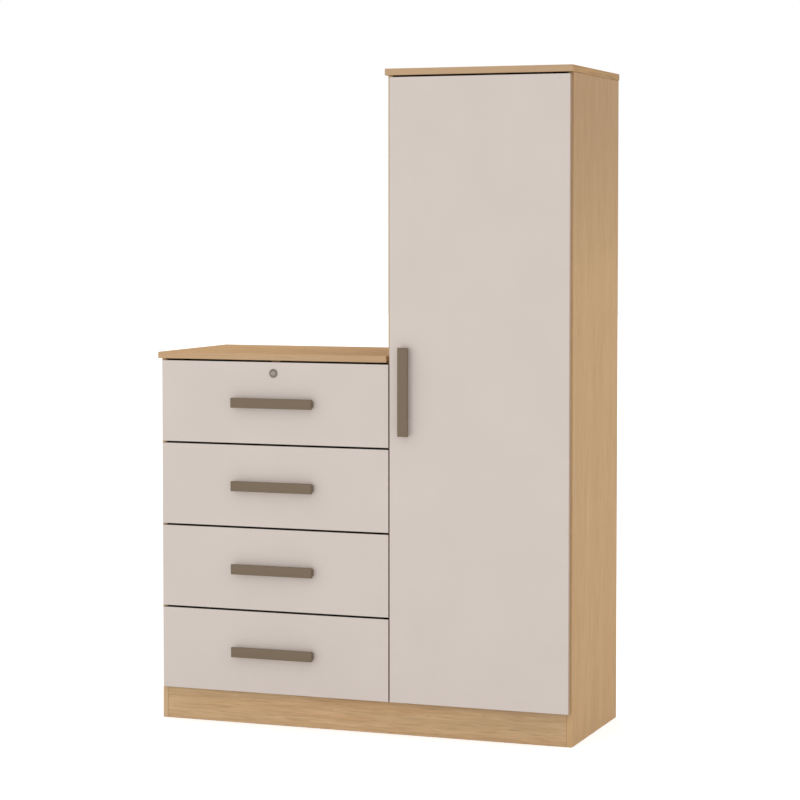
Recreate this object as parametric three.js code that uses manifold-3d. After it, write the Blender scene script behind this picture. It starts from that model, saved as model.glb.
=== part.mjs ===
// A chifforobe in faced board: a chest of four drawers joined to a wardrobe with one door, on one plinth.
// Millimetres, Z up. While it is built, X is zero midway between the side panels, Y is zero at the front
// edges of the side panels and grows towards the back, and Z is zero on the floor. The last lines move the
// whole to its own reference point, the middle of its footprint.

import * as THREE from "three";
import { RoundedBoxGeometry } from "three/addons/geometries/RoundedBoxGeometry.js";
import { mergeVertices } from "three/addons/utils/BufferGeometryUtils.js";
import Module from "manifold-3d";

// Carcass
const carcassWidth = 1195;
const carcassDepth = 440;
const tallHeight = 1800;
const lowHeight = 1029;
const wardrobeWidth = 519;
const plinthHeight = 88;
const sideBoard = 15;
const baseBoard = 15;
const plinthBoard = 15;
const topBoard = 18;
const backBoard = 3;
const topLeftLip = 4;
const topRightLip = 1;
const topFrontLip = 17;
const backReveal = 2;
const edgeRound = 1;
const seam = 0.2; // hairline left where two pieces butt together
const overrun = 5; // how far a cutting shape runs past what it cuts

// Door and drawer fronts
const frontBoard = 15;
const frontStandOff = 1.5; // from the carcass to the back of a closed front
const drawerReveal = 8; // carcass edge that shows beside the drawer fronts
const doorReveal = 6; // carcass edge that shows beside the door
const sillReveal = 2; // base edge that shows under the fronts
const frontGap = 3.5;
const drawerGap = 5;
const topGap = 5;

// Drawers
const drawerCount = 4;
const drawerLength = 400;
const drawerBoxHeight = 150;
const drawerBoxLift = 25; // from the lower edge of a front to its box
const drawerBoard = 12;
const drawerBottomBoard = 3;
const bottomRise = 10;
const bottomGroove = 6;
const bottomFit = 0.3;

// Runners
const runnerLength = 380;
const runnerHeight = 16;
const runnerThickness = 8;
const runnerSetback = 12;
const runnerGroove = 7;
const runnerFit = 0.4;
const drawerSideGap = 1.5;
const runnerScrewRadius = 2;
const runnerScrewInset = 40;
const runnerScrews = 3;

// Bar handles
const handleLength = 239;
const handleReach = 23;
const handleFace = 27.5;
const handleFoot = 18; // height of an end where it meets the front
const handleBar = 10;
const handleLeg = 13;
const handleEndTaper = 1;
const handleEdge = 1.2;
const handleShoulder = 3.5;
const handleInnerRound = 4;
const doorHandleInset = 44.5;

// Lock of the top drawer
const lockDrop = 30.5; // from the upper edge of the front to the lock's axis
const rosetteRadius = 12;
const rosetteThickness = 2.5;
const rosetteEdge = 0.8;
const barrelRadius = 9;
const plugRadius = 6;
const plugTail = 6;
const plugTailReach = 1.5;
const lockFit = 0.3;
const keySlotHeight = 7;
const keySlotWidth = 1.8;
const keySlotDepth = 5;
const camWidth = 12;
const camThickness = 2;
const camHeadroom = 1.5;
const strikeWidth = 28;
const strikeDrop = 16;
const strikeThickness = 1.5;
const strikeFlange = 14;
const strikeSetback = 1;
const strikeClearance = 0.6;

// Door hinges
const hingeCount = 3;
const hingeEnd = 100; // from an end of the door to the outer hinges
const cupRadius = 17.5;
const cupDepth = 11.5;
const cupWall = 1.2;
const cupEdge = 5; // from the door's edge to the cup's rim
const flangeHeight = 58;
const flangeWidth = 18;
const flangeThickness = 1;
const hingeFit = 0.3;
const plateHeight = 50;
const plateLength = 22;
const plateThickness = 3;
const plateSetback = 37;
const armWidth = 14;
const armThickness = 10;
const armLength = 68;
const armSlope = 4;
const armNose = 4;
const armNoseThickness = 7;

// Wardrobe fittings
const hatSpace = 280;
const shelfBoard = 15;
const shelfSetback = 20;
const railDrop = 45;
const railHeight = 30;
const railWidth = 15;
const railWall = 1.2;
const socketPlate = 3;
const socketCollar = 12;
const socketWall = 2.5;
const socketEar = 13;
const socketFit = 0.3;
const socketScrewRadius = 2.2;

// Facets of the round shapes
const barrelSides = 24;
const cupSides = 28;
const arcSteps = 4;

// Planes that several pieces share
const leftOuter = -carcassWidth / 2;
const rightOuter = carcassWidth / 2;
const leftMost = leftOuter - topLeftLip;
const rightMost = rightOuter + topRightLip;
const leftInner = leftOuter + sideBoard;
const rightInner = rightOuter - sideBoard;
const middleLeft = rightOuter - wardrobeWidth;
const middleRight = middleLeft + sideBoard;
const middleCentre = (middleLeft + middleRight) / 2;
const panelRear = carcassDepth - backBoard - seam;
const baseTop = plinthHeight + baseBoard;
const lowCeiling = lowHeight - topBoard;
const tallCeiling = tallHeight - topBoard;
const frontBack = -frontStandOff;
const frontFace = frontBack - frontBoard;
const frontsBottom = plinthHeight + sillReveal;
const drawersTop = lowCeiling - topGap;
const frontHeight = (drawersTop - frontsBottom + drawerGap) / drawerCount - drawerGap;
const drawerFrontLeft = leftOuter + drawerReveal;
const drawerFrontRight = middleCentre - frontGap / 2;
const drawerCentre = (leftInner + middleLeft) / 2;
const doorLeft = middleCentre + frontGap / 2;
const doorRight = rightOuter - doorReveal;
const doorTop = tallCeiling - topGap;
const doorMiddle = (frontsBottom + doorTop) / 2;
const quarter = Math.PI / 2;

// Finishes
function finish(color, roughness, metalness = 0) {
  return new THREE.MeshStandardMaterial({ color, roughness, metalness });
}
const oak = finish(0xbc9c77, 0.55);
const greige = finish(0xd1c8be, 0.5);
const taupe = finish(0x7d6e5c, 0.45);
const whiteSheet = finish(0xe6e1d8, 0.7);
const drawerWhite = finish(0xded6ca, 0.6);
const runnerPlastic = finish(0x8a7f72, 0.5);
const steel = finish(0x96908a, 0.35, 0.9);
const chrome = finish(0xc9c9c9, 0.2, 1);

const wasm = await Module();
wasm.setup();

// A closed geometry as a solid that can be joined and cut.
function solidOf(geometry) {
  const bare = geometry.clone();
  bare.deleteAttribute("normal");
  bare.deleteAttribute("uv");
  const merged = mergeVertices(bare);
  return new wasm.Manifold(
    new wasm.Mesh({
      numProp: 3,
      vertProperties: merged.attributes.position.array,
      triVerts: new Uint32Array(merged.index.array),
    }),
  );
}

// The solid's surface as flat-shaded triangles.
function geometryOf(solid) {
  const surface = solid.getMesh();
  const shared = new THREE.BufferGeometry();
  shared.setAttribute("position", new THREE.BufferAttribute(surface.vertProperties, 3));
  shared.setIndex(new THREE.BufferAttribute(surface.triVerts, 1));
  const flat = shared.toNonIndexed();
  flat.computeVertexNormals();
  return flat;
}

function cutFrom(geometry, tools) {
  let solid = solidOf(geometry);
  for (const tool of tools) solid = solid.subtract(solidOf(tool));
  return geometryOf(solid);
}

function joined(geometries) {
  let solid = solidOf(geometries[0]);
  for (const geometry of geometries.slice(1)) solid = solid.add(solidOf(geometry));
  return geometryOf(solid);
}

function middleOf(range) {
  return (range[0] + range[1]) / 2;
}

function spanOf(range) {
  return range[1] - range[0];
}

// A box between three pairs of planes, with its edges rounded where a radius is given.
function boxBetween(x, y, z, radius = 0) {
  const box = radius
    ? new RoundedBoxGeometry(spanOf(x), spanOf(y), spanOf(z), 1, radius)
    : new THREE.BoxGeometry(spanOf(x), spanOf(y), spanOf(z));
  return box.translate(middleOf(x), middleOf(y), middleOf(z));
}

// A named piece, set down at the middle of its own box.
function piece(parent, name, material, geometry) {
  geometry.computeBoundingBox();
  const centre = geometry.boundingBox.getCenter(new THREE.Vector3());
  const mesh = new THREE.Mesh(geometry.translate(-centre.x, -centre.y, -centre.z), material);
  mesh.name = name;
  mesh.position.copy(centre);
  parent.add(mesh);
  return mesh;
}

function board(parent, name, material, x, y, z, radius = edgeRound) {
  return piece(parent, name, material, boxBetween(x, y, z, radius));
}

function groupAt(parent, x, y, z) {
  const group = new THREE.Group();
  group.position.set(x, y, z);
  parent.add(group);
  return group;
}

function extruded(shape, depth) {
  return new THREE.ExtrudeGeometry(shape, { depth, bevelEnabled: false, curveSegments: arcSteps });
}

function outline(points) {
  return new THREE.Shape(points.map(([a, b]) => new THREE.Vector2(a, b)));
}

// Stands an outline drawn in X and Z up and runs it along Y from one plane to another.
function alongY(shape, from, to) {
  return extruded(shape, to - from).rotateX(quarter).translate(0, to, 0);
}

// Turns an outline drawn in Y and Z and runs it along X from one plane to another.
function alongX(shape, from, to) {
  return extruded(shape, to - from).rotateZ(quarter).rotateY(quarter).translate(from, 0, 0);
}

function alongZ(shape, from, to) {
  return extruded(shape, to - from).translate(0, 0, from);
}

// An outline with two round ends on its longer way.
function roundEnded(width, height, centreA = 0, centreB = 0) {
  const round = Math.min(width, height) / 2;
  const reach = Math.max(width, height) / 2 - round;
  const shape = new THREE.Shape();
  if (width > height) {
    shape.absarc(centreA + reach, centreB, round, -quarter, quarter, false);
    shape.absarc(centreA - reach, centreB, round, quarter, 3 * quarter, false);
  } else {
    shape.absarc(centreA, centreB + reach, round, 0, 2 * quarter, false);
    shape.absarc(centreA, centreB - reach, round, 2 * quarter, 4 * quarter, false);
  }
  shape.closePath();
  return shape;
}

function circle(radius, centreA = 0, centreB = 0) {
  const path = new THREE.Path();
  path.absarc(centreA, centreB, radius, 0, 4 * quarter, true);
  return path;
}

function cylinderAlongY(radius, from, to, sides) {
  const cylinder = new THREE.CylinderGeometry(radius, radius, to - from, sides);
  return cylinder.translate(0, (from + to) / 2, 0);
}

// Carcass boards

function sidePanels(parent) {
  const depth = [0, panelRear];
  const lowPanel = [0, lowCeiling - seam];
  const tallPanel = [0, tallCeiling - seam];
  board(parent, "left_side_panel", oak, [leftOuter, leftInner], depth, lowPanel);
  board(parent, "right_side_panel", oak, [rightInner, rightOuter], depth, tallPanel);
  const middle = boxBetween([middleLeft, middleRight], depth, tallPanel, edgeRound);
  const notch = boxBetween(
    [middleLeft - overrun, middleRight + overrun],
    [-overrun, plinthBoard + seam],
    [-overrun, plinthHeight],
  );
  piece(parent, "middle_panel", oak, cutFrom(middle, [notch]));
}

function tops(parent) {
  const depth = [-topFrontLip, carcassDepth];
  const wardrobe = [middleLeft - topLeftLip, rightMost];
  const chest = [leftMost, middleLeft - seam];
  board(parent, "wardrobe_top", oak, wardrobe, depth, [tallCeiling, tallHeight]);
  board(parent, "chest_top", oak, chest, depth, [lowCeiling, lowHeight]);
}

function baseBoards(parent) {
  const depth = [0, panelRear];
  const chest = [leftInner + seam, middleLeft - seam];
  const wardrobe = [middleRight + seam, rightInner - seam];
  board(parent, "chest_base", oak, chest, depth, [plinthHeight, baseTop]);
  board(parent, "wardrobe_base", oak, wardrobe, depth, [plinthHeight, baseTop]);
  const plinth = [leftInner + seam, rightInner - seam];
  board(parent, "plinth", oak, plinth, [0, plinthBoard], [0, plinthHeight - seam]);
}

function backSheets(parent) {
  const depth = [carcassDepth - backBoard, carcassDepth];
  const chest = [leftOuter + backReveal, middleCentre - seam / 2];
  const wardrobe = [middleCentre + seam / 2, rightOuter - backReveal];
  board(parent, "chest_back", whiteSheet, chest, depth, [plinthHeight, lowCeiling - seam], 0);
  board(parent, "wardrobe_back", whiteSheet, wardrobe, depth, [plinthHeight, tallCeiling - seam], 0);
}

// Wardrobe fittings

const shelfTop = tallCeiling - hatSpace;
const shelfUnder = shelfTop - shelfBoard;

function hatShelf(parent) {
  const width = [middleRight + seam, rightInner - seam];
  const depth = [shelfSetback, panelRear - seam];
  board(parent, "hat_shelf", oak, width, depth, [shelfUnder, shelfTop]);
}

// The rail's oval outline, grown on all sides.
function railOval(grow) {
  return roundEnded(railWidth + 2 * grow, railHeight + 2 * grow);
}

// A screw plate with a collar that takes the rail's end; side is 1 where it faces right and -1 left.
function railSocket(parent, name, panelFace, side) {
  const plate = roundEnded(railWidth + 2 * socketWall, railHeight + 2 * (socketWall + socketEar));
  const screwPlace = railHeight / 2 + socketWall + socketEar / 2;
  plate.holes.push(circle(socketScrewRadius, 0, screwPlace), circle(socketScrewRadius, 0, -screwPlace));
  const collar = railOval(socketFit + socketWall);
  collar.holes.push(railOval(socketFit));
  const disc = railOval(socketFit + socketWall / 2);
  const layers = [
    [plate, 0, socketPlate],
    [collar, 0, socketPlate + socketCollar],
    [disc, 0, socketPlate],
  ];
  const solids = layers.map(([shape, from, to]) =>
    side > 0 ? alongX(shape, from, to) : alongX(shape, -to, -from),
  );
  piece(groupAt(parent, panelFace + side * seam, 0, 0), name, steel, joined(solids));
}

function hangingRail(parent) {
  const rail = groupAt(parent, 0, panelRear / 2, shelfUnder - railDrop);
  const tube = railOval(0);
  tube.holes.push(railOval(-railWall));
  const endGap = seam + socketPlate + socketFit;
  piece(rail, "hanging_rail", chrome, alongX(tube, middleRight + endGap, rightInner - endGap));
  railSocket(rail, "rail_socket_left", middleRight, 1);
  railSocket(rail, "rail_socket_right", rightInner, -1);
}

// Bar handle: lengthwise along X, across along Z, its ends on the plane Y = 0 and its face towards -Y

function handlePlan() {
  const half = handleLength / 2;
  const foot = half - handleEndTaper;
  const gap = foot - handleLeg;
  const under = handleReach - handleBar;
  const shape = new THREE.Shape();
  shape.moveTo(-foot, 0);
  shape.lineTo(-half, -(handleReach - handleEdge));
  shape.lineTo(-half + handleEdge, -handleReach);
  shape.lineTo(half - handleEdge, -handleReach);
  shape.lineTo(half, -(handleReach - handleEdge));
  shape.lineTo(foot, 0);
  shape.lineTo(gap, 0);
  const roundX = gap - handleInnerRound;
  const roundY = handleInnerRound - under;
  shape.absarc(roundX, roundY, handleInnerRound, 0, -quarter, true);
  shape.absarc(-roundX, roundY, handleInnerRound, -quarter, -2 * quarter, true);
  shape.lineTo(-gap, 0);
  shape.closePath();
  return shape;
}

function handleSection() {
  const face = handleFace / 2;
  const foot = handleFoot / 2;
  const under = handleReach - handleBar;
  const upper = [
    [0, foot],
    [-(under - handleShoulder), foot],
    [-under, face],
    [-(handleReach - handleEdge), face],
    [-handleReach, face - handleEdge],
  ];
  const lower = upper.map(([y, z]) => [y, -z]).reverse();
  return outline([...upper, ...lower]);
}

function barHandle() {
  const bow = alongZ(handlePlan(), -handleFace, handleFace);
  const section = alongX(handleSection(), -handleLength, handleLength);
  return geometryOf(solidOf(bow).intersect(solidOf(section)));
}

function handle(parent, name, x, z, turn) {
  const mesh = piece(groupAt(parent, x, frontFace - seam, z), name, taupe, barHandle());
  mesh.parent.rotation.y = turn;
}

// Door and its hinges

const doorHinges = Array.from({ length: hingeCount }, (_, i) => {
  const lowest = frontsBottom + hingeEnd;
  const highest = doorTop - hingeEnd;
  return lowest + ((highest - lowest) * i) / (hingeCount - 1);
});
const cupCentre = doorRight - cupEdge - cupRadius;

function door(parent) {
  const width = [doorLeft, doorRight];
  const panel = boxBetween(width, [frontFace, frontBack], [frontsBottom, doorTop], edgeRound);
  const pockets = doorHinges.map((z) => {
    const bore = cylinderAlongY(cupRadius + hingeFit, frontBack - cupDepth - hingeFit, overrun, cupSides);
    return bore.translate(cupCentre, 0, z);
  });
  piece(parent, "door", greige, cutFrom(panel, pockets));
  handle(parent, "door_handle", doorLeft + doorHandleInset, doorMiddle, quarter);
}

// The cup sits in the door with its flange on the door's back, which is the plane Y = 0 here.
function hingeCup(parent, name) {
  const cup = cylinderAlongY(cupRadius, -cupDepth, flangeThickness, cupSides);
  const flange = alongY(roundEnded(flangeWidth, flangeHeight), 0, flangeThickness).translate(0, seam, 0);
  const hollow = cylinderAlongY(cupRadius - cupWall, cupWall - cupDepth, overrun, cupSides);
  piece(parent, name, steel, cutFrom(joined([cup, flange]), [hollow]));
}

// The arm lies on a plate on the side panel's inner face, which is the plane X = 0 here.
function hingeArm(parent, name) {
  const outer = -(plateThickness + armThickness);
  const profile = outline([
    [-plateThickness, armSlope],
    [outer + armNoseThickness, 0],
    [outer + armNoseThickness, -armNose],
    [outer, -armNose],
    [outer, armLength - armSlope],
    [outer + armSlope, armLength],
    [-plateThickness, armLength],
  ]);
  const arm = alongZ(profile, -armWidth / 2, armWidth / 2);
  const plate = boxBetween(
    [-plateThickness, 0],
    [plateSetback - plateLength / 2, plateSetback + plateLength / 2],
    [-plateHeight / 2, plateHeight / 2],
  );
  piece(parent, name, steel, joined([arm, plate]));
}

function hinges(parent) {
  doorHinges.forEach((z, i) => {
    hingeCup(groupAt(parent, cupCentre, frontBack, z), `hinge_cup_${i + 1}`);
    hingeArm(groupAt(parent, rightInner - seam, 0, z), `hinge_arm_${i + 1}`);
  });
}

// Drawers, each in a group at the lower edge of its front; drawer 1 is the top one with the lock

const boxBottom = drawerBoxLift;
const boxTop = drawerBoxLift + drawerBoxHeight;
const boxFront = frontBack + seam;
const boxRear = frontBack + drawerLength;
const boxLeft = leftInner + drawerSideGap;
const boxRight = middleLeft - drawerSideGap;
const runnerMiddle = boxBottom + drawerBoxHeight / 2;
const lockHeight = frontHeight - lockDrop;
const strikeRear = strikeSetback + strikeThickness;
const camFront = strikeRear + strikeClearance;

// A side board's outline in X and Z: the runner's groove outside and the bottom's groove inside.
function sideOutline(outer, inward) {
  const inner = outer + inward * drawerBoard;
  const deep = outer + inward * runnerGroove;
  const slot = inner - inward * bottomGroove;
  const grooveLow = runnerMiddle - runnerHeight / 2 - runnerFit;
  const grooveHigh = runnerMiddle + runnerHeight / 2 + runnerFit;
  const slotLow = boxBottom + bottomRise;
  const slotHigh = slotLow + drawerBottomBoard + 2 * bottomFit;
  const points = [
    [outer, boxBottom],
    [inner, boxBottom],
    [inner, slotLow],
    [slot, slotLow],
    [slot, slotHigh],
    [inner, slotHigh],
    [inner, boxTop],
    [outer, boxTop],
    [outer, grooveHigh],
    [deep, grooveHigh],
    [deep, grooveLow],
    [outer, grooveLow],
  ];
  return outline(inward > 0 ? points : points.reverse());
}

function drawerBox(parent, number) {
  const sideNames = [`drawer_${number}_side_left`, `drawer_${number}_side_right`];
  piece(parent, sideNames[0], drawerWhite, alongY(sideOutline(boxLeft, 1), boxFront, boxRear));
  piece(parent, sideNames[1], drawerWhite, alongY(sideOutline(boxRight, -1), boxFront, boxRear));
  const insideLeft = boxLeft + drawerBoard;
  const insideRight = boxRight - drawerBoard;
  const sheetLow = boxBottom + bottomRise + bottomFit;
  const sheetHigh = sheetLow + drawerBottomBoard;
  const sheetReach = bottomGroove - bottomFit;
  board(
    parent,
    `drawer_${number}_bottom`,
    whiteSheet,
    [insideLeft - sheetReach, insideRight + sheetReach],
    [boxFront, boxRear],
    [sheetLow, sheetHigh],
    0,
  );
  board(
    parent,
    `drawer_${number}_back`,
    drawerWhite,
    [insideLeft + seam, insideRight - seam],
    [boxRear - drawerBoard, boxRear],
    [sheetHigh + seam, boxTop],
    0,
  );
}

function drawerFront(parent, number) {
  const width = [drawerFrontLeft, drawerFrontRight];
  const panel = boxBetween(width, [frontFace, frontBack], [0, frontHeight], edgeRound);
  const bore = cylinderAlongY(barrelRadius + lockFit, frontFace - overrun, overrun, barrelSides);
  const geometry = number === 1 ? cutFrom(panel, [bore.translate(drawerCentre, 0, lockHeight)]) : panel;
  piece(parent, `drawer_${number}_front`, greige, geometry);
  handle(parent, `drawer_${number}_handle`, drawerCentre, frontHeight / 2, 0);
}

// A plastic strip with round ends, fixed to the carcass face and reaching into the side's groove.
function runner(parent, name, faceX, inward) {
  const middleY = runnerSetback + runnerLength / 2;
  const shape = roundEnded(runnerLength, runnerHeight, middleY, runnerMiddle);
  const firstScrew = runnerSetback + runnerScrewInset;
  const screwPitch = (runnerLength - 2 * runnerScrewInset) / (runnerScrews - 1);
  for (let i = 0; i < runnerScrews; i += 1)
    shape.holes.push(circle(runnerScrewRadius, firstScrew + i * screwPitch, runnerMiddle));
  const near = faceX + inward * seam;
  const far = faceX + inward * runnerThickness;
  piece(parent, name, runnerPlastic, alongX(shape, Math.min(near, far), Math.max(near, far)));
}

function drawers(parent) {
  for (let i = 0; i < drawerCount; i += 1) {
    const number = drawerCount - i;
    const lowerEdge = frontsBottom + i * (frontHeight + drawerGap);
    const drawer = groupAt(parent, 0, 0, lowerEdge);
    drawerFront(drawer, number);
    drawerBox(drawer, number);
    if (number === 1) lock(drawer);
    const carcass = groupAt(parent, 0, 0, lowerEdge);
    runner(carcass, `drawer_${number}_runner_left`, leftInner, 1);
    runner(carcass, `drawer_${number}_runner_right`, middleLeft, -1);
  }
}

// Lock: the barrel through the front, the plug in it, and the cam that turns up behind the strike

function lock(parent) {
  const axis = groupAt(parent, drawerCentre, 0, lockHeight);
  const rosetteBack = frontFace - seam;
  const rosetteFace = rosetteBack - rosetteThickness;
  const barrelEnd = camFront - lockFit;
  const profile = [
    [plugRadius + lockFit, rosetteFace],
    [rosetteRadius - rosetteEdge, rosetteFace],
    [rosetteRadius, rosetteFace + rosetteEdge],
    [rosetteRadius, rosetteBack],
    [barrelRadius, rosetteBack],
    [barrelRadius, barrelEnd],
    [plugRadius + lockFit, barrelEnd],
    [plugRadius + lockFit, rosetteFace],
  ];
  const ring = profile.map(([radius, y]) => new THREE.Vector2(radius, y));
  piece(axis, "lock_barrel", steel, new THREE.LatheGeometry(ring, barrelSides));

  const plugFace = rosetteFace + rosetteEdge / 2;
  const body = cylinderAlongY(plugRadius, plugFace, barrelEnd, barrelSides);
  const half = plugTail / 2;
  const tailEnd = camFront + camThickness + plugTailReach;
  const tail = boxBetween([-half, half], [barrelEnd - overrun, tailEnd], [-half, half]);
  const slot = boxBetween(
    [-keySlotWidth / 2, keySlotWidth / 2],
    [plugFace - overrun, plugFace + keySlotDepth],
    [-keySlotHeight / 2, keySlotHeight / 2],
  );
  piece(axis, "lock_plug", steel, cutFrom(joined([body, tail]), [slot]));

  const reach = topGap + lockDrop - seam - strikeThickness - camHeadroom;
  const shape = roundEnded(reach + camWidth / 2, camWidth, (camWidth / 2 - reach) / 2, 0);
  const eye = half + lockFit;
  shape.holes.push(outline([[-eye, -eye], [-eye, eye], [eye, eye], [eye, -eye]]));
  piece(axis, "lock_cam", steel, alongY(shape, camFront, camFront + camThickness));
}

// An angle under the chest's top; its flange lies on the underside and its leg hangs before the cam.
function strike(parent) {
  const high = lowCeiling - seam;
  const low = high - strikeDrop;
  const rear = strikeSetback + strikeFlange;
  const shape = outline([
    [strikeSetback, low],
    [strikeRear, low],
    [strikeRear, high - strikeThickness],
    [rear, high - strikeThickness],
    [rear, high],
    [strikeSetback, high],
  ]);
  const width = [drawerCentre - strikeWidth / 2, drawerCentre + strikeWidth / 2];
  piece(parent, "lock_strike", steel, alongX(shape, ...width));
}

const chifforobe = new THREE.Group();
const cabinet = new THREE.Group();
chifforobe.add(cabinet);
sidePanels(cabinet);
tops(cabinet);
baseBoards(cabinet);
backSheets(cabinet);
hatShelf(cabinet);
hangingRail(cabinet);
door(cabinet);
hinges(cabinet);
drawers(cabinet);
strike(cabinet);

// The reference point is the middle of the footprint: the tops at the sides, handles at the front and
// back sheets behind.
const handleFront = frontFace - seam - handleReach;
cabinet.position.x = -(leftMost + rightMost) / 2;
cabinet.position.y = -(handleFront + carcassDepth) / 2;

export default chifforobe;
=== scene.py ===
"""A chifforobe: finishes, fittings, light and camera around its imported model. Metres, Z up, front at -Y."""

import math

import bmesh
import bpy
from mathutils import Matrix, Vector


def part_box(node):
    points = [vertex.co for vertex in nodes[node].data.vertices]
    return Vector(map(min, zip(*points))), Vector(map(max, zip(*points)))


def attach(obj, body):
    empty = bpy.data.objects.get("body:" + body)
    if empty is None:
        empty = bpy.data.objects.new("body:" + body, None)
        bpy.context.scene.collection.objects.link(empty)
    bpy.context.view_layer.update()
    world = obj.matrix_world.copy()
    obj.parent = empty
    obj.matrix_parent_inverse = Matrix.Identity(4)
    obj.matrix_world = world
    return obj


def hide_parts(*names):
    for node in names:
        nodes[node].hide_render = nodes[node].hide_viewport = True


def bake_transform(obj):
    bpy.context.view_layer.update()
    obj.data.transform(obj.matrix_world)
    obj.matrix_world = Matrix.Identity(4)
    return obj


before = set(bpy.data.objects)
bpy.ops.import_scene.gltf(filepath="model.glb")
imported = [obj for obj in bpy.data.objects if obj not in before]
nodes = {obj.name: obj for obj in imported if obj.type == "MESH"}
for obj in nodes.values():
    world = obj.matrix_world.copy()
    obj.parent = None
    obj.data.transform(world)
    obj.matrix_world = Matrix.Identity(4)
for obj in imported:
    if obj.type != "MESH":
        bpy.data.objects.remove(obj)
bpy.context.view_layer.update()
bpy.ops.object.select_all(action="DESELECT")

MM = 0.001
AXES = "xyz"


# Camera, a little below a person's eyes and to the right of the piece. The focal length is in pixels.

FRAME_WIDTH = 800
FOCAL_LENGTH = 2480.75
FRAME_RISE = -0.07
CAMERA_PLACE = (2.44139, -6.45528, 1.37991)
CAMERA_DIP = 2.7312
CAMERA_TURN = 20.4127

camera_data = bpy.data.cameras.new("camera")
camera_data.sensor_width = 36
camera_data.lens = FOCAL_LENGTH / FRAME_WIDTH * 36
camera_data.shift_y = FRAME_RISE
camera_data.clip_end = 100
camera = bpy.data.objects.new("camera", camera_data)
camera.location = CAMERA_PLACE
camera.rotation_euler = (math.radians(90 - CAMERA_DIP), 0, math.radians(CAMERA_TURN))
bpy.context.scene.collection.objects.link(camera)
bpy.context.scene.camera = camera
bpy.context.scene.view_settings.view_transform = "Standard"


# Materials


def colour(red, green, blue):
    """A colour as it is read off a swatch, 0 to 255, as the shader's light values."""
    parts = (c / 255 for c in (red, green, blue))
    return (*(((c + 0.055) / 1.055) ** 2.4 if c > 0.04 else c / 12.92 for c in parts), 1)


def tinted(tone, factor):
    return (*(c * factor for c in tone[:3]), 1)


class Finish:
    """A material with short calls for its nodes."""

    def __init__(self, name, roughness=0.5, metallic=0.0, tone=(0.5, 0.5, 0.5, 1)):
        self.material = bpy.data.materials.new(name)
        self.material.use_nodes = True
        self.tree = self.material.node_tree
        self.shader = self.tree.nodes["Principled BSDF"]
        self.shader.inputs["Base Color"].default_value = tone
        self.shader.inputs["Roughness"].default_value = roughness
        self.shader.inputs["Metallic"].default_value = metallic
        self.place = self.tree.nodes.new("ShaderNodeTexCoord")

    def node(self, kind, values=(), **settings):
        made = self.tree.nodes.new("ShaderNode" + kind)
        for name, value in settings.items():
            setattr(made, name, value)
        for socket, value in dict(values).items():
            if isinstance(value, bpy.types.NodeSocket):
                self.tree.links.new(value, made.inputs[socket])
            else:
                made.inputs[socket].default_value = value
        return made

    def math(self, operation, a, b=0.0):
        return self.node("Math", {0: a, 1: b}, operation=operation).outputs[0]

    def mapped(self, vector, scale, shift=(0, 0, 0)):
        values = {"Vector": vector, "Location": shift, "Scale": scale}
        return self.node("Mapping", values).outputs[0]

    def noise(self, vector, scale=1.0, detail=2.0, rough=0.5, twist=0.0):
        values = {
            "Vector": vector,
            "Scale": scale,
            "Detail": detail,
            "Roughness": rough,
            "Distortion": twist,
        }
        return self.node("TexNoise", values).outputs["Fac"]

    def levels(self, value, low, high, to_low=0.0, to_high=1.0):
        values = {"Value": value, "From Min": low, "From Max": high, "To Min": to_low, "To Max": to_high}
        return self.node("MapRange", values).outputs[0]

    def blend(self, factor, a, b, mode="MIX"):
        made = self.node("Mix", data_type="RGBA", blend_type=mode)
        for socket, value in zip((0, 6, 7), (factor, a, b)):
            if isinstance(value, bpy.types.NodeSocket):
                self.tree.links.new(value, made.inputs[socket])
            else:
                made.inputs[socket].default_value = value
        return made.outputs[2]

    def base(self, value):
        self.tree.links.new(value, self.shader.inputs["Base Color"])

    def rough(self, value):
        self.tree.links.new(value, self.shader.inputs["Roughness"])

    def bump(self, height, depth, strength=1.0):
        values = {"Height": height, "Distance": depth, "Strength": strength}
        self.tree.links.new(self.node("Bump", values).outputs[0], self.shader.inputs["Normal"])


OAK = colour(192, 158, 117)
OAK_LIGHT = colour(201, 170, 132)
OAK_WARM = colour(195, 157, 110)
OAK_EDGE = colour(205, 176, 141)
TOP_EDGE = colour(194, 165, 135)
DRIFT_LOW = (0.9, 0.89, 0.91, 1)
DRIFT_HIGH = (1.08, 1.08, 1.06, 1)
MATT_GLOSS = 0.02
SATIN_GLOSS = 0.08
SQUARE_ON = 0.7

# How finely each layer of the oak's figure repeats: along the grain, across it and into the board
DRIFT_REPEAT = (0.9, 0.7, 0.7)
BANDS_REPEAT = (0.8, 20, 20)
STREAKS_REPEAT = (1.1, 30, 30)
FLAME_REPEAT = (0.5, 8.0, 8.0)
FIBRE_REPEAT = (9, 210, 210)
PORES_REPEAT = (19, 300, 300)


def facing_side(f, axis, sign=0):
    """Where the surface looks along an axis: to its high side, its low side, or with no sign to both."""
    amount = f.node("SeparateXYZ", {0: f.place.outputs["Normal"]}).outputs[AXES.index(axis)]
    amount = f.math("MULTIPLY", amount, float(sign)) if sign else f.math("ABSOLUTE", amount)
    return f.math("GREATER_THAN", amount, SQUARE_ON)


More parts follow.
